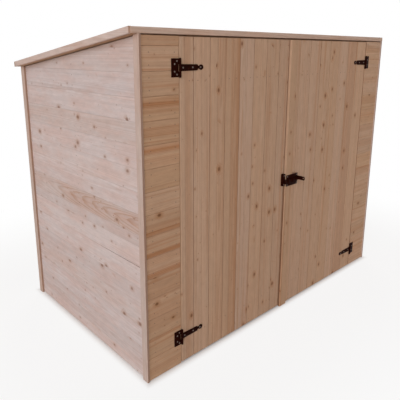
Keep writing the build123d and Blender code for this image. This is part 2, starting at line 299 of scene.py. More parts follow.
# Materials
def spruce():
    """Planed softwood: growth rings about a heart, fibre streaks, heartwood bands and knots."""
    shader = Shader(bpy.data.materials.new("spruce"))
    grain = shader.add("ShaderNodeAttribute", {}, attribute_name="grain").outputs["Vector"]
    look = shader.add("ShaderNodeAttribute", {}, attribute_name="look").outputs
    tone, warmth, knottiness = shader.split(look["Vector"])
    banding = look["Alpha"]
    placed = shader.add("ShaderNodeAttribute", {}, attribute_name="heart").outputs["Fac"]
    cut = shader.add("ShaderNodeAttribute", {}, attribute_name="cut").outputs["Fac"]

    def marks(stretch, detail, roughness=0.5):
        return shader.noise(shader.stretch(grain, stretch), 1.0, detail, roughness)

    # Knots and pin knots: one chance in each cell of a scatter, more where branches grew in a whorl
    ragged = shader.span(shader.noise(grain, RAGGED_SCALE, 1.0), -0.3, 0.3)
    whorl = shader.ease(marks(WHORL_GRAIN, 1.0), 0.4, 0.62, 0.25, 1.8)
    knottiness = shader.times(knottiness, whorl)

    def knots(kind, share):
        per_metre, least, most = kind
        inputs = {"Vector": shader.stretch(grain, KNOT_GRAIN), "Scale": per_metre}
        scatter = shader.add("ShaderNodeTexVoronoi", inputs, voronoi_dimensions="2D")
        chance, size, _ = shader.split(scatter.outputs["Color"])
        present = shader.math("LESS_THAN", chance, share)
        radius = shader.span(shader.math("POWER", size, 1.6), least * per_metre, most * per_metre)
        reach = shader.math("ADD", shader.math("DIVIDE", scatter.outputs["Distance"], radius), ragged)
        strength = shader.times(present, shader.span(size, 0.5, 1.1))
        core = shader.times(strength, shader.ease(reach, 1.4, 0.45))
        halo = shader.times(strength, shader.ease(reach, 3.4, 0.9))
        return core, halo

    knot, halo = knots(KNOTS, knottiness)
    pin, pin_halo = knots(PIN_KNOTS, shader.times(knottiness, PIN_KNOT_SHARE))
    core = shader.math("MAXIMUM", knot, shader.times(pin, 0.7))
    halo = shader.math("MAXIMUM", halo, shader.times(pin_halo, 0.4))

    # Growth rings bend round the knots
    rings = shader.add(
        "ShaderNodeTexWave",
        {
            "Vector": shader.stretch(grain, RING_GRAIN),
            "Scale": RING_SCALE,
            "Distortion": 5.0,
            "Detail": 2.0,
            "Detail Scale": 0.3,
            "Phase Offset": shader.times(halo, 9.0),
        },
        wave_type="RINGS",
        rings_direction="X",
        wave_profile="SAW",
    ).outputs["Fac"]
    late = shader.times(shader.ease(rings, 0.35, 0.9), shader.ease(rings, 1.0, 0.93))

    # Fibres, fine streaks, mottle, and heartwood in narrow bands on any board and wide ones on some
    fibres = marks(FIBRE_GRAIN, 2.0)
    streaks = marks(STREAK_GRAIN, 3.0, 0.6)
    narrow = shader.times(shader.ease(marks(NARROW_BAND_GRAIN, 1.0), 0.56, 0.74), warmth)
    wide = shader.times(shader.ease(marks(WIDE_BAND_GRAIN, 1.0), 0.51, 0.59), banding)
    heart = shader.math("MAXIMUM", shader.times(narrow, 0.5), shader.times(wide, 0.7))
    heart = shader.math("MAXIMUM", heart, shader.times(placed, shader.span(streaks, 0.6, 1.4)))
    mottle = marks(MOTTLE_GRAIN, 3.0, 0.6)

    # Sapwood, late wood and heart take their shade, then knots and cut edges lie over them
    blush = shader.ease(marks(BLUSH_GRAIN, 3.0, 0.6), 0.35, 0.68)
    # Warmth mixes from the pale sides, partly painted light, to the warm front, partly painted shade
    wood = shader.mix(warmth, shader.mix(blush, PALE_SAPWOOD_PAINTED_LIGHT, BLUSHED_SAPWOOD_PAINTED_LIGHT), WARM_SAPWOOD_PAINTED_SHADE)
    contrast = shader.math("ADD", shader.span(warmth, 0.14, 0.22), placed)
    wood = shader.mix(shader.times(late, contrast), wood, LATE_WOOD)
    wood = shader.mix(heart, wood, HEARTWOOD)
    shade = shader.times(shader.span(streaks, 0.86, 1.14), shader.span(fibres, 0.95, 1.05))
    shade = shader.times(shader.times(shade, shader.span(mottle, 0.87, 1.13)), tone)
    grey = shader.add("ShaderNodeCombineColor", {0: shade, 1: shade, 2: shade}).outputs[0]
    wood = shader.mix(1.0, wood, grey, "MULTIPLY")
    wood = shader.mix(shader.times(halo, shader.span(warmth, 0.34, 0.46)), wood, KNOT_HALO)
    wood = shader.mix(shader.times(core, shader.span(warmth, 0.55, 0.8)), wood, KNOT_CORE)
    # End grain and sawn edges brown; on the corner strips' edges partly painted shade
    wood = shader.mix(shader.ease(cut, 0.0, 1.0, 0.0, 0.6), wood, SAWN_AND_SHADED_EDGE)
    # Planed bevels paler: partly fresh wood, partly painted light for the shaded gap beside them
    wood = shader.mix(shader.ease(cut, 0.0, -1.0, 0.0, 0.25), wood, PLANED_EDGE_AND_PAINTED_LIGHT)

    shader.coat(wood, shader.span(fibres, 0.56, 0.74))
    shader.surface.inputs["Specular IOR Level"].default_value = WOOD_SPECULAR
    height = shader.math("ADD", shader.times(late, 0.35), shader.times(fibres, 0.5))
    height = shader.math("ADD", height, shader.times(core, 0.6))
    shader.bump(height, 0.3, 0.0006)
    return shader.owner


def black_iron():
    """Black stove paint on pressed iron, thin and brown in places."""
    shader = Shader(bpy.data.materials.new("black_iron"))
    place = shader.add("ShaderNodeTexCoord", {}).outputs["Object"]
    cast = shader.noise(place, 900.0, 3.0)
    worn = shader.ease(shader.noise(place, 120.0, 4.0), 0.56, 0.72)
    paint = shader.mix(cast, IRON_DARK, IRON_LIGHT)
    paint = shader.mix(shader.times(worn, 0.5), paint, IRON_WORN)
    shader.coat(paint, shader.span(cast, 0.38, 0.62))
    shader.surface.inputs["Specular IOR Level"].default_value = IRON_SPECULAR
    shader.bump(cast, 0.25, 0.0003)
    return shader.owner


def bare_steel(name, colours, metallic):
    """Dull plated steel of small fixings, browned where the plating is gone."""
    light, dark = colours
    shader = Shader(bpy.data.materials.new(name))
    place = shader.add("ShaderNodeTexCoord", {}).outputs["Object"]
    speck = shader.noise(place, 1500.0, 3.0)
    shader.coat(shader.mix(speck, light, dark), shader.span(speck, 0.3, 0.55))
    shader.surface.inputs["Metallic"].default_value = metallic
    shader.bump(speck, 0.15, 0.0002)
    return shader.owner


def mineral_felt():
    """Roofing felt: mineral grit in bitumen, walked and weathered in patches."""
    shader = Shader(bpy.data.materials.new("mineral_felt"))
    place = shader.add("ShaderNodeTexCoord", {}).outputs["Object"]
    grit = shader.add("ShaderNodeTexVoronoi", {"Vector": place, "Scale": 620.0})
    grit_tone = shader.split(grit.outputs["Color"])[0]
    patches = shader.noise(place, 3.0, 5.0, 0.6)
    felt = shader.mix(grit_tone, GRIT_DARK, GRIT_LIGHT)
    felt = shader.mix(shader.ease(patches, 0.4, 0.7, 0.0, 0.45), felt, FELT_WALKED)
    shader.coat(felt, shader.span(grit_tone, 0.75, 0.95))
    shader.bump(grit.outputs["Distance"], 0.5, 0.0012)
    return shader.owner


SPRUCE = spruce()
IRON = black_iron()
SCREW_STEEL = bare_steel("screw_steel", SCREW_COLOURS, metallic=0.8)
NAIL_STEEL = bare_steel("nail_steel", NAIL_COLOURS, metallic=0.3)
FELT = mineral_felt()


def add_object(name, data):
    made = bpy.data.objects.new(name, data)
    bpy.context.scene.collection.objects.link(made)
    return made


def faces_any(face, ways):
    """Whether a face looks one of these ways."""
    return any(face.normal.dot(way) > EDGE_FACING for way in ways)


# Meshes gathered board by board
class Pieces:
    """Gathers closed meshes with their grain and look, then makes them one object."""

    def __init__(self, name, seed):
        self.name = name
        self.random = random.Random(seed)
        self.points = []
        self.faces = []
        self.cut = []

    def place_in_log(self, along, across, depth, figured=False):
        """Map from a piece to its own place in the log; a figured piece cuts across the rings."""
        pick = self.random.uniform
        rows = Matrix((along, across, depth)).to_4x4()
        slant = Matrix.Identity(4)
        slant[1][0] = pick(-PITH_SLANT, PITH_SLANT)
        slant[2][0] = pick(-PITH_SLANT, PITH_SLANT)
        heart = Vector((pick(0, GRAIN_SHIFT), pick(-PITH_SIDE, PITH_SIDE), pick(*PITH_DEPTH)))
        if figured:
            slant[2][0] = FIGURED_SLANT
            heart.y, heart.z = 0.0, PITH_DEPTH[1]
        return Matrix.Translation(heart) @ slant @ rows

    def look(self, tone, warmth, knots, bands):
        """Look of one piece, a little off the look of its kind."""
        pick = self.random.uniform
        warmth = min(1.0, max(0.0, warmth + pick(-WARMTH_SPREAD, WARMTH_SPREAD)))
        return (tone * pick(*TONE_SPREAD), warmth, knots * pick(*KNOT_SPREAD), bands * pick(*BAND_SPREAD))

    def add_point(self, place, in_log, look, heart):
        self.points.append((place.copy(), in_log, look, heart))

    def add_faces(self, mesh, first, along, planed_lit_ways=(), sawn_shaded_ways=()):
        """Adds the faces of a bmesh whose points start at first.

        The last two arguments are the ways that freshly planed and sawn edges face. cut is 1 on end grain
        and on a brown sawn edge, whose brown is partly painted shade, and -1 on a freshly planed one,
        whose paler colour is partly painted light.
        """
        for face in mesh.faces:
            self.faces.append([first + vertex.index for vertex in face.verts])
            brown = abs(face.normal.dot(along)) > END_GRAIN_FACING or faces_any(face, sawn_shaded_ways)
            self.cut.append(1.0 if brown else -1.0 if faces_any(face, planed_lit_ways) else 0.0)

    def make(self, material):
        mesh = bpy.data.meshes.new(self.name)
        places, grain, looks, heart = zip(*self.points)
        mesh.from_pydata(places, [], self.faces)
        layers = (
            ("grain", "FLOAT_VECTOR", "POINT", "vector", grain),
            ("look", "FLOAT_COLOR", "POINT", "color", looks),
            ("heart", "FLOAT", "POINT", "value", heart),
            ("cut", "FLOAT", "FACE", "value", self.cut),
        )
        for name, kind, domain, key, values in layers:
            layer = mesh.attributes.new(name, kind, domain)
            layer.data.foreach_set(key, np.array(values, np.float32).ravel())
        mesh.materials.append(material)
        mesh.update()
        return add_object(self.name, mesh)


def bisect(mesh, point, normal, **settings):
    """Cuts the faces of a mesh along a plane."""
    geometry = mesh.verts[:] + mesh.edges[:] + mesh.faces[:]
    return bmesh.ops.bisect_plane(mesh, geom=geometry, dist=CUT_REACH, plane_co=point, plane_no=normal,
                                  **settings)


def cut_mesh(mesh, point, normal):
    """Takes away what lies beyond a plane and closes the cut."""
    cut = bisect(mesh, point, normal, clear_outer=True)
    rim = [item for item in cut["geom_cut"] if isinstance(item, bmesh.types.BMEdge)]
    if rim:
        bmesh.ops.contextual_create(mesh, geom=rim)


def board_outline(width, thick, joint, grooved):
    """Tongue and groove section as (across, depth).

    It has V joints and perhaps a centre groove on its face, and its tongue at the far edge.
    """
    tongue_top, tongue_foot = (share * thick for share in TONGUE_SHARES)
    near_chamfer, far_chamfer, gap = joint
    near = gap
    far = width - gap
    groove_end = TONGUE_LONG + GROOVE_PLAY
    half, deep = CENTRE_GROOVE
    middle = width / 2
    centre = [(middle - half, 0.0), (middle, deep), (middle + half, 0.0)] if grooved else []
    return [
        (near, near_chamfer),
        (near + near_chamfer, 0.0),
        *centre,
        (far - far_chamfer, 0.0),
        (far, far_chamfer),
        (far, tongue_top),
        (far + TONGUE_LONG, tongue_top),
        (far + TONGUE_LONG, tongue_foot),
        (far, tongue_foot),
        (far, thick),
        (near, thick),
        (near, tongue_foot + GROOVE_PLAY),
        (near + groove_end, tongue_foot + GROOVE_PLAY),
        (near + groove_end, tongue_top - GROOVE_PLAY),
        (near, tongue_top - GROOVE_PLAY),
    ]


def board_mesh(origin, along, across, inward, stations):
    """One board as a closed mesh through its outlines at distances along it, its face at origin."""
    mesh = bmesh.new()
    rings = []
    for distance, outline in stations:
        start = origin + along * distance
        rings.append([mesh.verts.new(start + across * c + inward * d) for c, d in outline])
    count = len(rings[0])
    for near, far in zip(rings, rings[1:]):
        for i in range(count):
            j = (i + 1) % count
            mesh.faces.new((near[i], near[j], far[j], far[i]))
    mesh.faces.new(rings[0][::-1])
    mesh.faces.new(rings[-1])
    bmesh.ops.recalc_face_normals(mesh, faces=mesh.faces[:])
    return mesh


def extent(node, axis):
    """Lowest and highest place of a node along a unit axis."""
    places = [vertex.co.dot(axis) for vertex in frame["nodes"][node].data.vertices]
    return min(places), max(places)


def stand_for(made, node):
    """The made piece moves with the node's body and takes the node's place, and the node is hidden."""
    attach(made, frame["nodes"][node]["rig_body"])
    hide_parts(node)
    return made


def lay_boards(node, axes, first_board, joint, base_look, seed, special=None, bands=None, cuts=(),
               planed_lit_ways=(), figured=None, half=None, opened=None, grooved=False, joint_dirt_and_shade=False):
    """Fills a CAD slab with boards. axes run along a board, across the boards and inward from their face.

    special gives some boards a look of their own, and bands heartwood strengths at shares of their width.
    cuts are planes that end the boards, and the next argument the ways that paler planed edges face; their
    paler colour is partly painted light. figured boards show flames that fade between two shares of their
    length. half is the number of a board ripped to half its width. opened gives how far the near joint of
    some boards gapes at their start, and the share of their length where it has closed. grooved boards
    have a groove along their middle, and the last argument browns and darkens what lies between face and
    back, partly dirt and partly painted shade in the joints.
    """
    along, across, inward = axes
    pieces = Pieces(node + "_laid", seed)
    a0, a1 = extent(node, along)
    c0, c1 = extent(node, across)
    d0, d1 = extent(node, inward)
    width = max(BOARD_COVER, first_board)
    place = c0 + first_board - width
    index = 0
    while place < c1 - WELD_REACH:
        uneven = pieces.random.uniform(0.0, LAY_UNEVEN)
        origin = along * a0 + across * place + inward * (d0 + uneven)
        thick = d1 - d0 - uneven
        whole = board_outline(width, thick, joint, grooved)
        stations = [(0.0, whole), (a1 - a0, whole)]
        if index in (opened or {}):
            gape, reach = opened[index]
            start = [(c + gape * (1.0 - c / width), d) for c, d in whole]
            stations = [(0.0, start), ((a1 - a0) * reach, whole), (a1 - a0, whole)]
        mesh = board_mesh(origin, along, across, inward, stations)
        for point, normal in ((across * c0, -across), (across * c1, across), *cuts):
            cut_mesh(mesh, point, normal)
        if mesh.faces:
            stops, strengths = zip(*(bands or {}).get(index, [(0.0, 0.0)]))
            for stop in stops:
                if BAND_CUT_SHARES[0] <= stop <= BAND_CUT_SHARES[1]:
                    bisect(mesh, across * (place + width * stop), across)
            fade = [a0 + (a1 - a0) * share for share in (figured or {}).get(index, ())]
            for stop in fade:
                bisect(mesh, along * stop, along)
            middle = origin + across * (BOARD_COVER / 2)
            look = pieces.look(*(special or {}).get(index, base_look))
            to_log = pieces.place_in_log(along, across, inward, bool(fade))
            mesh.verts.index_update()
            mesh.normal_update()
            first = len(pieces.points)
            for vertex in mesh.verts:
                share = (vertex.co.dot(across) - place) / width
                heart = float(np.interp(share, stops, strengths))
                if fade:
                    heart *= float(np.interp(vertex.co.dot(along), fade, (1.0, 0.0)))
                shown = look
                within = WELD_REACH < (vertex.co - origin).dot(inward) < thick - WELD_REACH
                on_planed_lit_face = any(faces_any(face, planed_lit_ways) for face in vertex.link_faces)
                # Joints below the face darkened and browned: partly dirt, partly painted shade
                if joint_dirt_and_shade and within and not on_planed_lit_face:
                    shown = (look[0] * DOOR_JOINT_DIRT_AND_SHADE_TONE, *look[1:])
                    heart = max(heart, DOOR_JOINT_DIRT_AND_SHADE_HEART)
                pieces.add_point(vertex.co, to_log @ (vertex.co - middle), shown, heart)
            pieces.add_faces(mesh, first, along, planed_lit_ways)
            index += 1
        mesh.free()
        place += width
        width = BOARD_COVER / 2 if index == half else BOARD_COVER
    return stand_for(pieces.make(SPRUCE), node)


def make_object(name, mesh, material, sharp_angle=None):
    """Object from a bmesh, which is freed; with a sharp angle its faces are smooth below that."""
    data = bpy.data.meshes.new(name)
    mesh.to_mesh(data)
    mesh.free()
    if sharp_angle:
        data.shade_smooth()
        data.set_sharp_from_angle(angle=sharp_angle)
    data.materials.append(material)
    return add_object(name, data)


# Timbers and ironmongery keep the CAD shape with their edges eased
def eased_mesh(node, edge):
    """A node's mesh in whole faces, with its sharp edges rounded."""
    mesh = bmesh.new()
    mesh.from_mesh(frame["nodes"][node].data)
    bmesh.ops.remove_doubles(mesh, verts=mesh.verts[:], dist=WELD_REACH)
    bmesh.ops.dissolve_limit(mesh, angle_limit=FLAT_ANGLE, verts=mesh.verts[:], edges=mesh.edges[:])
    sharp = [e for e in mesh.edges if e.is_manifold and e.calc_face_angle() > SHARP_ANGLE]
    bmesh.ops.bevel(mesh, geom=sharp, offset=edge, segments=EASE_SEGMENTS, profile=0.5, affect="EDGES",
                    clamp_overlap=True)
    return mesh


def islands(mesh):
    """Vertex groups that hang together."""
    seen = set()
    groups = []
    for start in mesh.verts:
        if start in seen:
            continue
        group = [start]
        seen.add(start)
        for vertex in group:
            for edge in vertex.link_edges:
                other = edge.other_vert(vertex)
                if other not in seen:
                    seen.add(other)
                    group.append(other)
        groups.append(group)
    return groups


def dress_timber(node, along, base_look, seed, painted_shade_at=None, painted_shade_cuts=(), sawn_shaded_ways=()):
    """Replaces a timber by the same shape with eased edges and grain along its length.

    The shade function gives the share of painted shade at a point, which darkens and browns it there, and
    the shade planes cut the mesh where it turns; the last argument gives the ways that brown sawn edges
    face, their brown partly painted shade.
    """
    depth = X if along == Y else Y
    across = depth.cross(along)
    mesh = eased_mesh(node, TIMBER_EDGE)
    for point, normal in painted_shade_cuts:
        bisect(mesh, point, normal)
    mesh.verts.index_update()
    mesh.normal_update()
    pieces = Pieces(node + "_eased", seed)
    grain = {}
    for group in islands(mesh):
        to_log = pieces.place_in_log(along, across, depth)
        middle = sum((v.co for v in group), Vector()) / len(group)
        look = pieces.look(*base_look)
        for vertex in group:
            grain[vertex.index] = (to_log, middle, look)
    for vertex in mesh.verts:
        to_log, middle, (tone, *rest) = grain[vertex.index]
        # Painted shade: the share darkens the tone and, through the heart attribute, browns the wood
        painted_shade = painted_shade_at(vertex) if painted_shade_at else 0.0
        look = (tone * (1.0 - PAINTED_SHADE_DARK * painted_shade), *rest)
        pieces.add_point(vertex.co, to_log @ (vertex.co - middle), look, painted_shade)
    pieces.add_faces(mesh, 0, along, sawn_shaded_ways=sawn_shaded_ways)
    mesh.free()
    return stand_for(pieces.make(SPRUCE), node)


def dress_iron(node):
    """Replaces a piece of ironmongery by the same shape with eased edges."""
    mesh = eased_mesh(node, IRON_EDGE)
    return stand_for(make_object(node + "_eased", mesh, IRON, SHARP_ANGLE), node)


# Nails and screws: many small heads in one mesh
class Fixings:
    """Gathers turned heads, each set on a surface, then makes them one object."""

    def __init__(self, name, seed):
        self.name = name
        self.random = random.Random(seed)
        self.mesh = bmesh.new()

    def set_on(self, place, outward):
        """Matrix from a head's own frame, its axis up, to a place on a surface, at any turn."""
        turn = Matrix.Rotation(self.random.uniform(0.0, math.tau), 4, "Z")
        return Matrix.Translation(place) @ outward.to_track_quat("Z", "Y").to_matrix().to_4x4() @ turn

    def head(self, to_place, outline, sides, first_angle=0.0, sweep=math.tau, side=0.0):
        """Turns an outline of (radius, height) about its axis, a whole head or half of a slotted one."""
        whole = sweep == math.tau
        steps = sides if whole else sides // 2 + 1
        rows = []
        for radius, height in outline:
            row = []
            for k in range(steps):
                angle = first_angle + sweep * k / (sides if whole else sides // 2)
                point = Vector((radius * math.cos(angle), radius * math.sin(angle) + side, height))
                row.append(self.mesh.verts.new(to_place @ point))
            rows.append(row)
        for low, high in zip(rows, rows[1:]):
            for k in range(steps if whole else steps - 1):
                j = (k + 1) % steps
                self.mesh.faces.new((low[k], low[j], high[j], high[k]))
            if not whole:
                self.mesh.faces.new((low[-1], low[0], high[0], high[-1]))
        self.mesh.faces.new(rows[-1])
        self.mesh.faces.new(rows[0][::-1])

    def nail(self, place, outward, radius=NAIL_RADIUS, proud=NAIL_PROUD):
        outline = [(radius * across, proud * up) for across, up in NAIL_OUTLINE]
        self.head(self.set_on(place, outward), outline, NAIL_SIDES)

    def screw(self, place, outward):
        """Slotted round head: a foot and two halves with the slot between them."""
        to_place = self.set_on(place, outward)
        foot, half = (
            [(SCREW_RADIUS * across, SCREW_HIGH * up) for across, up in outline]
            for outline in (SCREW_FOOT_OUTLINE, SCREW_HALF_OUTLINE)
        )
        self.head(to_place, foot, SCREW_SIDES)
        for first_angle, side in ((0.0, SCREW_SLOT / 2), (math.pi, -SCREW_SLOT / 2)):
            self.head(to_place, half, SCREW_SIDES, first_angle, math.pi, side)

    def make(self, material, body, slot=None):
        bmesh.ops.recalc_face_normals(self.mesh, faces=self.mesh.faces[:])
        made = make_object(self.name, self.mesh, material)
        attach(made, body)
        return made


def solids(node):
    """Lowest and highest corner of each solid in a node, from the lowest solid up."""
    mesh = bmesh.new()
    mesh.from_mesh(frame["nodes"][node].data)
    bmesh.ops.remove_doubles(mesh, verts=mesh.verts[:], dist=WELD_REACH)
    boxes = []
    for group in islands(mesh):
        places = np.array([vertex.co for vertex in group])
        boxes.append((Vector(places.min(0)), Vector(places.max(0))))
    mesh.free()
    return sorted(boxes, key=lambda box: box[0].z)


def nail_boards(name, node, body, outward, across, first_board, lines, seed):
    """Two nails in each board along each line; a line is a point on the face where it starts."""
    fixings = Fixings(name, seed)
    c0, c1 = extent(node, across)
    place = c0 + first_board - BOARD_COVER
    while place < c1:
        for share in NAIL_EDGE_SHARES:
            c = place + BOARD_COVER * share
            if c0 + NAIL_RADIUS * 2 < c < c1 - NAIL_RADIUS * 2:
                for line, limit in lines:
                    if c < limit:
                        spot = line + across * c
                        fixings.nail(spot - outward * NAIL_PROUD, outward)
        place += BOARD_COVER
    return fixings.make(NAIL_STEEL, body)


def deck_underside():
    """Front of the roof deck's underside, the way down its slope and the way up from it."""
    corners = [vertex.co for vertex in frame["nodes"]["roof_deck"].data.vertices]
    y0, y1 = extent("roof_deck", Y)
    z_front = min(c.z for c in corners if abs(c.y - y0) < SAME_EDGE_REACH)
    z_back = min(c.z for c in corners if abs(c.y - y1) < SAME_EDGE_REACH)
    slope = Vector((0, y1 - y0, z_back - z_front)).normalized()
    return Vector((0, y0, z_front)), slope, X.cross(slope)


roof_point, roof_slope, roof_up = deck_underside()


def wall_top(node, y):
    """Height of a wall's sloping top at depth y."""
    corner = max((vertex.co for vertex in frame["nodes"][node].data.vertices), key=lambda co: co.z)
    return corner.z + (y - corner.y) * roof_slope.z / roof_slope.y


def top_cut(node):
    """Plane that follows a wall's sloping top."""
    return (Z * wall_top(node, 0.0), roof_up)


def edge_cut(node):
    """Plane that planes a bevel on a front piece's upright edge, on its low X side."""
    over, deep = DOOR_EDGE_BEVEL
    corner = X * (extent(node, X)[0] + over) + Y * extent(node, Y)[0]
    return (corner, Vector((-deep, -over, 0)).normalized())


# Looks as tone, warmth, share of knots and strength of wide bands. The pale cool side looks are partly
# painted light for the lit sides, and the warm front looks partly painted warm shade for the shaded front.
SIDE_LOOK_PAINTED_LIGHT = (1.025, 0.08, 0.6, 0.05)
LEFT_PANEL_LOOK = (0.975, 0.94, 0.35, 0.35)
RIGHT_PANEL_LOOK = (1.04, 0.9, 0.3, 0.35)
LEFT_DOOR_LOOK = (0.985, 0.88, 0.55, 0.1)
RIGHT_DOOR_LOOK = (1.02, 0.84, 0.3, 0.1)
BACK_LOOK = (0.98, 0.3, 0.34, 0.2)
TRIM_LOOK = (0.98, 0.4, 0.1, 0.0)
SIDE_FASCIA_LOOK_PAINTED_LIGHT = (1.01, 0.3, 0.08, 0.0)
FASCIA_LOOK = (1.07, 0.52, 0.08, 0.0)
FRAME_LOOK = (0.97, 0.8, 0.3, 0.3)
DECK_LOOK = (0.95, 1.0, 0.3, 0.3)

# Boards that stand out in the photo, by their number from the first one laid
LEFT_WALL_SPECIAL = {8: (1.03, 0.12, 0.6, 0.1)}
LEFT_WALL_FIGURED = {8: (0.58, 0.8)}
LEFT_DOOR_SPECIAL = {
    0: (0.98, 0.85, 0.2, 0.1),
    3: (0.98, 0.85, 0.6, 0.1),
    4: (1.02, 0.75, 0.3, 0.0),
}

# Heartwood bands that stand out in the photo: by board, the strength at shares of its width
LEFT_WALL_BANDS = {
    8: [(0.0, 0.08), (0.15, 0.22), (0.35, 0.18), (0.5, 0.32), (0.62, 0.2), (0.78, 0.28), (0.93, 0.1)],
}
LEFT_PANEL_BANDS = {
    3: [(0.33, 0.0), (0.53, 0.25), (0.73, 0.0)],
    5: [(0.0, 0.35), (0.07, 0.58), (0.21, 0.62), (0.35, 0.0)],
    6: [(0.0, 0.35), (0.07, 0.68), (0.19, 0.74), (0.29, 0.0)],
    7: [(0.0, 0.35), (0.07, 0.58), (0.19, 0.58), (0.29, 0.0), (0.39, 0.0), (0.48, 0.28), (0.58, 0.0)],
    10: [(0.57, 0.0), (0.69, 0.4), (0.79, 0.7), (0.88, 0.25), (0.95, 0.1)],
    11: [(0.28, 0.0), (0.38, 0.35), (0.58, 0.2), (0.69, 0.4), (0.79, 0.0)],
    12: [(0.28, 0.0), (0.38, 0.35), (0.48, 0.1), (0.59, 0.5), (0.69, 0.75), (0.79, 0.4), (0.9, 0.1)],
    14: [(0.38, 0.0), (0.53, 0.22), (0.67, 0.0)],
}
LEFT_DOOR_BANDS = {
    0: [(0.45, 0.0), (0.55, 0.2), (0.75, 0.2), (0.85, 0.0)],
    2: [(0.4, 0.0), (0.5, 0.1), (0.8, 0.1), (0.9, 0.2)],
    3: [(0.38, 0.0), (0.42, 0.22), (0.7, 0.2), (0.8, 0.25), (0.86, 0.5), (0.93, 0.45)],
}
RIGHT_DOOR_BANDS = {1: [(0.0, 0.25), (0.1, 0.2), (0.9, 0.25)]}


def build_walls():
    """Boards of the walls, the front panels and the doors."""
    lay_boards("left_wall_boards", (Y, Z, X), LOWEST_SIDE_BOARD, SIDE_JOINT, SIDE_LOOK_PAINTED_LIGHT, seed=11,
               special=LEFT_WALL_SPECIAL, bands=LEFT_WALL_BANDS, cuts=[top_cut("left_wall_boards")],
               figured=LEFT_WALL_FIGURED, half=SIDE_HALF_BOARD, opened=SIDE_OPEN_JOINT)
    lay_boards("right_wall_boards", (Y, Z, -X), LOWEST_SIDE_BOARD, SIDE_JOINT, SIDE_LOOK_PAINTED_LIGHT, seed=12,
               cuts=[top_cut("right_wall_boards")], half=SIDE_HALF_BOARD)
    lay_boards("back_wall_boards", (X, Z, -Y), LOWEST_BOARD, SIDE_JOINT, BACK_LOOK, seed=13,
               cuts=[top_cut("back_wall_boards")])
    lay_boards("front_left_panel", (X, Z, Y), LOWEST_FRONT_BOARD, LEFT_PANEL_JOINT, LEFT_PANEL_LOOK,
               seed=14, bands=LEFT_PANEL_BANDS)
    bevel = edge_cut("front_right_panel")
    lay_boards("front_right_panel", (X, Z, Y), LOWEST_FRONT_BOARD, RIGHT_PANEL_JOINT, RIGHT_PANEL_LOOK,
               seed=15, cuts=[bevel], planed_lit_ways=[bevel[1]])
    bevel = edge_cut("left_door_boards")
    lay_boards("left_door_boards", (Z, X, Y), LEFT_DOOR_FIRST_BOARD, DOOR_JOINT, LEFT_DOOR_LOOK, seed=16,
               special=LEFT_DOOR_SPECIAL, bands=LEFT_DOOR_BANDS, cuts=[bevel], planed_lit_ways=[bevel[1]],
               grooved=True, joint_dirt_and_shade=True)
    lay_boards("right_door_boards", (Z, -X, Y), RIGHT_DOOR_FIRST_BOARD, DOOR_JOINT, RIGHT_DOOR_LOOK,
               seed=17, bands=RIGHT_DOOR_BANDS, grooved=True, joint_dirt_and_shade=True)


def middle_of(node, axis):
    return sum(extent(node, axis)) / 2


def build_nails():
    """Nails where the boards cross the posts, the studs and the ledges."""
    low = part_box("left_wall_boards")[0]
    strip_edge = extent("front_left_corner_strip", Y)[1]
    post_edge = extent("front_left_post", Y)[1]
    y_front = (strip_edge + post_edge) / 2
    y_back = (extent("back_left_post", Y)[0] + extent("back_left_corner_strip", Y)[0]) / 2
    side_lines = [y_front, solids("wall_studs")[0][0].y + STUD_NAIL_INSET, y_back]
    for side, x, outward in (("left", low.x, -X), ("right", extent("right_wall_boards", X)[1], X)):
        lines = [(X * x + Y * y, wall_top(f"{side}_wall_boards", y) - NAIL_TOP_CLEAR) for y in side_lines]
        nail_boards(f"{side}_wall_nails", f"{side}_wall_boards", "shed_frame", outward, Z, LOWEST_BOARD,
                    lines, seed=21)
    y = extent("back_wall_boards", Y)[1]
    studs = [(lo.x + hi.x) / 2 for lo, hi in solids("wall_studs") if hi.y > y - BACK_STUD_REACH]
    back_lines = [middle_of("back_left_post", X), *studs, middle_of("back_right_post", X)]
    lines = [(X * x + Y * y, wall_top("back_wall_boards", y) - NAIL_TOP_CLEAR) for x in back_lines]
    nail_boards("back_wall_nails", "back_wall_boards", "shed_frame", Y, Z, LOWEST_BOARD, lines, seed=22)
    y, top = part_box("front_left_panel")[0].y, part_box("front_left_panel")[1].z
    for side in ("left", "right"):
        posts = [middle_of(f"front_{side}_post", X), middle_of(f"{side}_door_post", X)]
        lines = [(X * x + Y * y, top) for x in posts]
        panel = f"front_{side}_panel"
        nail_boards(f"{panel}_nails", panel, "shed_frame", -Y, Z, LOWEST_FRONT_BOARD, lines, seed=23)
        ledges = [(lo.z + hi.z) / 2 for lo, hi in solids(f"{side}_door_ledges")]
        across, first = (X, LEFT_DOOR_FIRST_BOARD) if side == "left" else (-X, RIGHT_DOOR_FIRST_BOARD)
        lines = [(Z * z + Y * y, math.inf) for z in ledges]
        door = f"{side}_door"
        nail_boards(f"{door}_nails", f"{door}_boards", door, -Y, across, first, lines, seed=24)


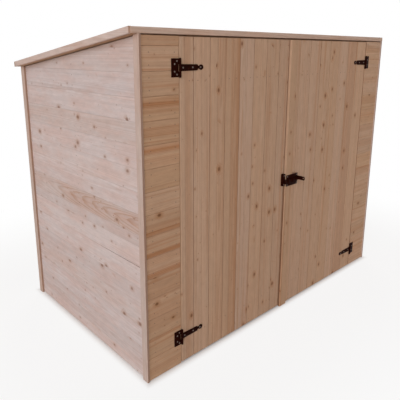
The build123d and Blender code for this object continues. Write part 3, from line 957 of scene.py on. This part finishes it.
def build_screws():
    """Screws in the hinges, the bolt's plate and its keeper."""
    for side, inward in (("left", 1), ("right", -1)):
        on_panel = Fixings(f"{side}_hinge_plate_screws", seed=25)
        on_door = Fixings(f"{side}_hinge_strap_screws", seed=26)
        plates = solids(f"{side}_hinge_plates")
        straps = solids(f"{side}_hinge_straps")
        pins = solids(f"{side}_hinge_pins")
        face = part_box(f"{side}_door_boards")[0].y - LEAF_THICK
        for (lo, hi), (strap_lo, strap_hi), (pin_lo, pin_hi) in zip(plates, straps, pins):
            pin = (pin_lo.x + pin_hi.x) / 2
            outer = lo.x if inward > 0 else hi.x
            tip = strap_hi.x if inward > 0 else strap_lo.x
            for across, up in PLATE_SCREW_SHARES:
                x = outer + (pin - inward * KNUCKLE_REACH - outer) * across
                on_panel.screw(Vector((x, face, lo.z + (hi.z - lo.z) * up)), -Y)
            for share in STRAP_SCREW_SHARES:
                x = pin + (tip - pin) * share
                on_door.screw(Vector((x, face, (strap_lo.z + strap_hi.z) / 2)), -Y)
        on_panel.make(SCREW_STEEL, "shed_frame", "black_iron")
        on_door.make(SCREW_STEEL, f"{side}_door", "black_iron")
    for node, body in (("latch_plate", "right_door"), ("latch_keeper", "left_door")):
        fixings = Fixings(node + "_screws", seed=27)
        lo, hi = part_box(node)
        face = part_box("latch_pad")[0].y - LEAF_THICK
        sides = (lo.x + LATCH_SCREW_INSET, hi.x - LATCH_SCREW_INSET)
        if node == "latch_keeper":
            sides = ((lo.x + hi.x) / 2,)
        for x in sides:
            for z in (lo.z + LATCH_SCREW_INSET, hi.z - LATCH_SCREW_INSET):
                fixings.screw(Vector((x, face, z)), -Y)
        fixings.make(SCREW_STEEL, body, "black_iron")


def painted_shade_depths():
    """Places through the cover strip's thickness where its edge turns from no painted shade to full
    painted shade.
    """
    front, back = extent("door_cover_strip", Y)
    return [front + (back - front) * share for share in PAINTED_SHADE_DEPTH_SHARES]


def painted_shade_on_edge(vertex):
    """Share of painted shade on the cover strip, standing in for the shade of the gap between the doors:
    brown where its sawn edge meets the door's face, below the bolt.
    """
    unshaded, painted_shade = PAINTED_SHADE_HEIGHTS
    low = np.interp(vertex.co.z, (painted_shade, unshaded), (1.0, 0.0))
    deep = np.interp(vertex.co.y, painted_shade_depths(), (0.0, 1.0))
    faces_gap = np.interp(-vertex.normal.x, PAINTED_SHADE_FACING, (0.0, 1.0))
    return float(low * deep * faces_gap)


def build_timbers():
    corners = [f"{end}_{side}" for end in ("front", "back") for side in ("left", "right")]
    for seed, corner in enumerate(corners, 30):
        # Brown sawn front and back edges: partly painted shade for the shaded edge faces
        dress_timber(f"{corner}_corner_strip", Z, TRIM_LOOK, seed, sawn_shaded_ways=[Y, -Y])
    dress_timber("latch_pad", Z, TRIM_LOOK, 34)
    # Painted shade on the cover strip's edge, standing in for the shade of the gap between the doors
    painted_shade_planes = [(Z * z, Z) for z in PAINTED_SHADE_HEIGHTS] + [(Y * y, Y) for y in painted_shade_depths()]
    dress_timber("door_cover_strip", Z, LEFT_DOOR_LOOK, 36, painted_shade_on_edge, painted_shade_planes)
    corner_posts = [f"{corner}_post" for corner in corners]
    upright = [*corner_posts, "left_door_post", "right_door_post", "wall_studs"]
    across = ["back_wall_rails", "door_header", "roof_purlin", "left_door_ledges", "right_door_ledges"]
    groups = (
        (40, X, "board_wood", FASCIA_LOOK, ["front_fascia", "back_fascia"]),
        (42, Y, "board_wood", SIDE_FASCIA_LOOK_PAINTED_LIGHT, ["left_fascia", "right_fascia"]),
        (50, Z, "frame_wood", FRAME_LOOK, upright),
        (60, X, "frame_wood", FRAME_LOOK, across),
        (70, Y, "frame_wood", FRAME_LOOK, ["left_wall_rails", "right_wall_rails"]),
    )
    for first_seed, along, slot, look, nodes in groups:
        for seed, node in enumerate(nodes, first_seed):
            dress_timber(node, along, look, seed)
    for seed, (side, inward) in enumerate((("left", 1), ("right", -1)), 80):
        lo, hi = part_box(f"{side}_door_brace")
        climb = Vector((inward * (hi.x - lo.x), 0, hi.z - lo.z)).normalized()
        dress_timber(f"{side}_door_brace", climb, FRAME_LOOK, seed)


def build_ironmongery():
    for side in ("left", "right"):
        for part in ("plates", "straps", "pins"):
            dress_iron(f"{side}_hinge_{part}")
    for node in ("latch_plate", "latch_bolt", "latch_keeper", "keeper_pad"):
        dress_iron(node)


def felt_course(mesh, waves, x_range, u_range, lift_at):
    """One width of felt as a thin closed sheet; u runs down the slope, and lift_at gives its rise."""
    deck = extent("roof_deck", roof_up)[1] - roof_point.dot(roof_up)
    x0, x1 = x_range
    u0, u1 = u_range
    columns = round((x1 - x0) / FELT_CELL)
    rows = round((u1 - u0) / FELT_CELL)
    layers = []
    for side in (0, 1):
        grid = []
        for j in range(rows + 1):
            u = u0 + (u1 - u0) * j / rows
            line = []
            for i in range(columns + 1):
                x = x0 + (x1 - x0) * i / columns
                inner = min(1.0, min(i, columns - i, j, rows - j) / FELT_EDGE_CELLS)
                wave = waves.uniform(0.0, FELT_WAVE) * inner * side
                height = deck + lift_at(u) + FELT_THICK * side + wave
                line.append(mesh.verts.new(roof_point + X * x + roof_slope * u + roof_up * height))
            grid.append(line)
        layers.append(grid)
    for grid in layers:
        for low, high in zip(grid, grid[1:]):
            for i in range(columns):
                mesh.faces.new((low[i], low[i + 1], high[i + 1], high[i]))
    rims = []
    for grid in layers:
        right_side = [line[-1] for line in grid[1:]]
        left_side = [line[0] for line in grid[-2:0:-1]]
        rims.append(grid[0] + right_side + grid[-1][-2::-1] + left_side)
    count = len(rims[0])
    for k in range(count):
        j = (k + 1) % count
        mesh.faces.new((rims[0][k], rims[0][j], rims[1][j], rims[1][k]))


def build_felt():
    """Two widths of felt along the roof, the upper lapped over the lower, with clout nails."""
    x_range = extent("roof_felt", X)
    y0, y1 = extent("roof_felt", Y)
    slope_long = (y1 - y0) / roof_slope.y
    joint = slope_long - FELT_ROLL
    waves = random.Random(91)
    mesh = bmesh.new()

    def upper_lift(u):
        share = min(1.0, max(0.0, (u - joint + FELT_LAP / 4) / (FELT_LAP / 4)))
        return FELT_THICK * share

    felt_course(mesh, waves, x_range, (joint, slope_long), lambda u: 0.0)
    felt_course(mesh, waves, x_range, (0.0, joint + FELT_LAP), upper_lift)
    bmesh.ops.recalc_face_normals(mesh, faces=mesh.faces[:])
    stand_for(make_object("roof_felt_laid", mesh, FELT, FELT_SHARP_ANGLE), "roof_felt")

    clouts = Fixings("roof_clout_nails", seed=92)
    deck = extent("roof_deck", roof_up)[1] - roof_point.dot(roof_up)
    x_near, x_far = x_range[0] + CLOUT_INSET, x_range[1] - CLOUT_INSET
    lap = joint + FELT_LAP - CLOUT_INSET
    spots = []
    across = round((x_far - x_near) / CLOUT_SPACING)
    for i in range(across + 1):
        x = x_near + (x_far - x_near) * i / across
        ends = [(x, u, FELT_THICK) for u in (CLOUT_INSET, slope_long - CLOUT_INSET)]
        spots += [ends[0], (x, lap, FELT_THICK * 2), ends[1]]
    down = round(slope_long / CLOUT_SPACING)
    for j in range(1, down):
        u = CLOUT_INSET + (slope_long - 2 * CLOUT_INSET) * j / down
        doubled = joint <= u <= joint + FELT_LAP
        spots += [(x, u, FELT_THICK * (2 if doubled else 1)) for x in (x_near, x_far)]
    for x, u, lift in spots:
        place = roof_point + X * x + roof_slope * u + roof_up * (deck + lift + FELT_WAVE / 2)
        clouts.nail(place, roof_up, CLOUT_RADIUS, CLOUT_PROUD)
    clouts.make(NAIL_STEEL, "shed_frame", "roof_felt")


def build_roof():
    y0, y1 = extent("roof_deck", Y)
    ends = [(Y * y0, -Y), (Y * y1, Y)]
    lay_boards("roof_deck", (roof_slope, X, roof_up), BOARD_COVER, LEFT_PANEL_JOINT, DECK_LOOK, seed=90,
               cuts=ends)
    build_felt()


# Camera, fitted to the photo
CAMERA_PLACE = (-1.9523, -1.9395, 1.4261)
CAMERA_AZIMUTH = 42.386
CAMERA_TILT = -13.519
CAMERA_ROLL = 0.03
PICTURE_WIDE = 400.0
FOCAL_PIXELS = 454.33
CENTRE_PIXELS = (194.23, 162.11)
SENSOR_WIDE = 36.0

# Floor, which turns white to the eye beyond the walls in two steps: start, end and share of each
FLOOR_REACH = 40.0
FLOOR_COLOUR = (0.86, 0.8, 0.75, 1)
FLOOR_ROUGH = 0.9
NEAR_WHITE = (-0.02, 0.04, 0.86)
WIDE_WHITE = (0.2, 1.6, 0.14)

# Light: the world, and soft lamps as place, aim, size, watts and tint
WORLD_TINT = (1.0, 0.9, 0.82, 1)
WORLD_STRENGTH = 0.24
LAMPS = {
    "key": ((-14.1, -6.45, 7.45), (0, 0, 0.7), (10.8, 8.1), 1215.0, (0.93, 0.99, 1.1)),
    "fill": ((-13.2, -13.2, 3.65), (0, 0, 0.75), (6.0, 6.0), 630.0, (1.0, 0.9, 0.81)),
    "far": ((12.0, 12.0, 5.5), (0, 0, 0.75), (8.0, 8.0), 950.0, (1.0, 0.95, 0.9)),
}


def build_camera():
    data = bpy.data.cameras.new("camera")
    data.sensor_width = SENSOR_WIDE
    data.lens = FOCAL_PIXELS / PICTURE_WIDE * data.sensor_width
    data.shift_x = (PICTURE_WIDE / 2 - CENTRE_PIXELS[0]) / PICTURE_WIDE
    data.shift_y = (CENTRE_PIXELS[1] - PICTURE_WIDE / 2) / PICTURE_WIDE
    camera = add_object("camera", data)
    camera.location = CAMERA_PLACE
    camera.rotation_euler = Euler(
        (math.radians(90 + CAMERA_TILT), math.radians(CAMERA_ROLL), math.radians(-CAMERA_AZIMUTH)), "XYZ"
    )
    bpy.context.scene.camera = camera


def area_light(name, place, aim, size, power, tint):
    data = bpy.data.lights.new(name, "AREA")
    data.shape = "RECTANGLE"
    data.size, data.size_y = size
    data.energy = power
    data.color = tint
    light = add_object(name, data)
    light.location = place
    light.rotation_mode = "QUATERNION"
    light.rotation_quaternion = (Vector(aim) - Vector(place)).to_track_quat("-Z", "Y")


def build_floor():
    mesh = bpy.data.meshes.new("floor")
    corners = [(x * FLOOR_REACH, y * FLOOR_REACH, 0) for x, y in ((-1, -1), (1, -1), (1, 1), (-1, 1))]
    mesh.from_pydata(corners, [], [(0, 1, 2, 3)])
    floor = add_object("floor", mesh)
    shader = Shader(bpy.data.materials.new("pale_floor"))
    shader.coat(FLOOR_COLOUR, FLOOR_ROUGH)
    x, y, _ = shader.split(shader.add("ShaderNodeTexCoord", {}).outputs["Object"])
    beyond_sides = []
    for place, near, far, axis in (
        (x, "left_wall_boards", "right_wall_boards", X),
        (y, "front_left_panel", "back_wall_boards", Y),
    ):
        start, end = extent(near, axis)[0], extent(far, axis)[1]
        from_middle = shader.math("ABSOLUTE", shader.math("SUBTRACT", place, (start + end) / 2))
        beyond_sides.append(shader.math("SUBTRACT", from_middle, (end - start) / 2))
    beyond = shader.math("MAXIMUM", *beyond_sides)
    whites = [shader.ease(beyond, start, end, 0.0, most) for start, end, most in (NEAR_WHITE, WIDE_WHITE)]
    shader.white_to_eye("Material Output", "ShaderNodeEmission", shader.math("ADD", *whites))
    mesh.materials.append(shader.owner)


def build_light():
    world = bpy.data.worlds.new("studio")
    bpy.context.scene.world = world
    shader = Shader(world, "Background")
    shader.surface.inputs["Color"].default_value = WORLD_TINT
    shader.surface.inputs["Strength"].default_value = WORLD_STRENGTH
    shader.white_to_eye("World Output", "ShaderNodeBackground", 1.0)
    for name, lamp in LAMPS.items():
        area_light(name, *lamp)
    bpy.context.scene.view_settings.view_transform = "Standard"


build_walls()
build_nails()
build_timbers()
build_ironmongery()
build_screws()
build_roof()
build_camera()
build_floor()
build_light()
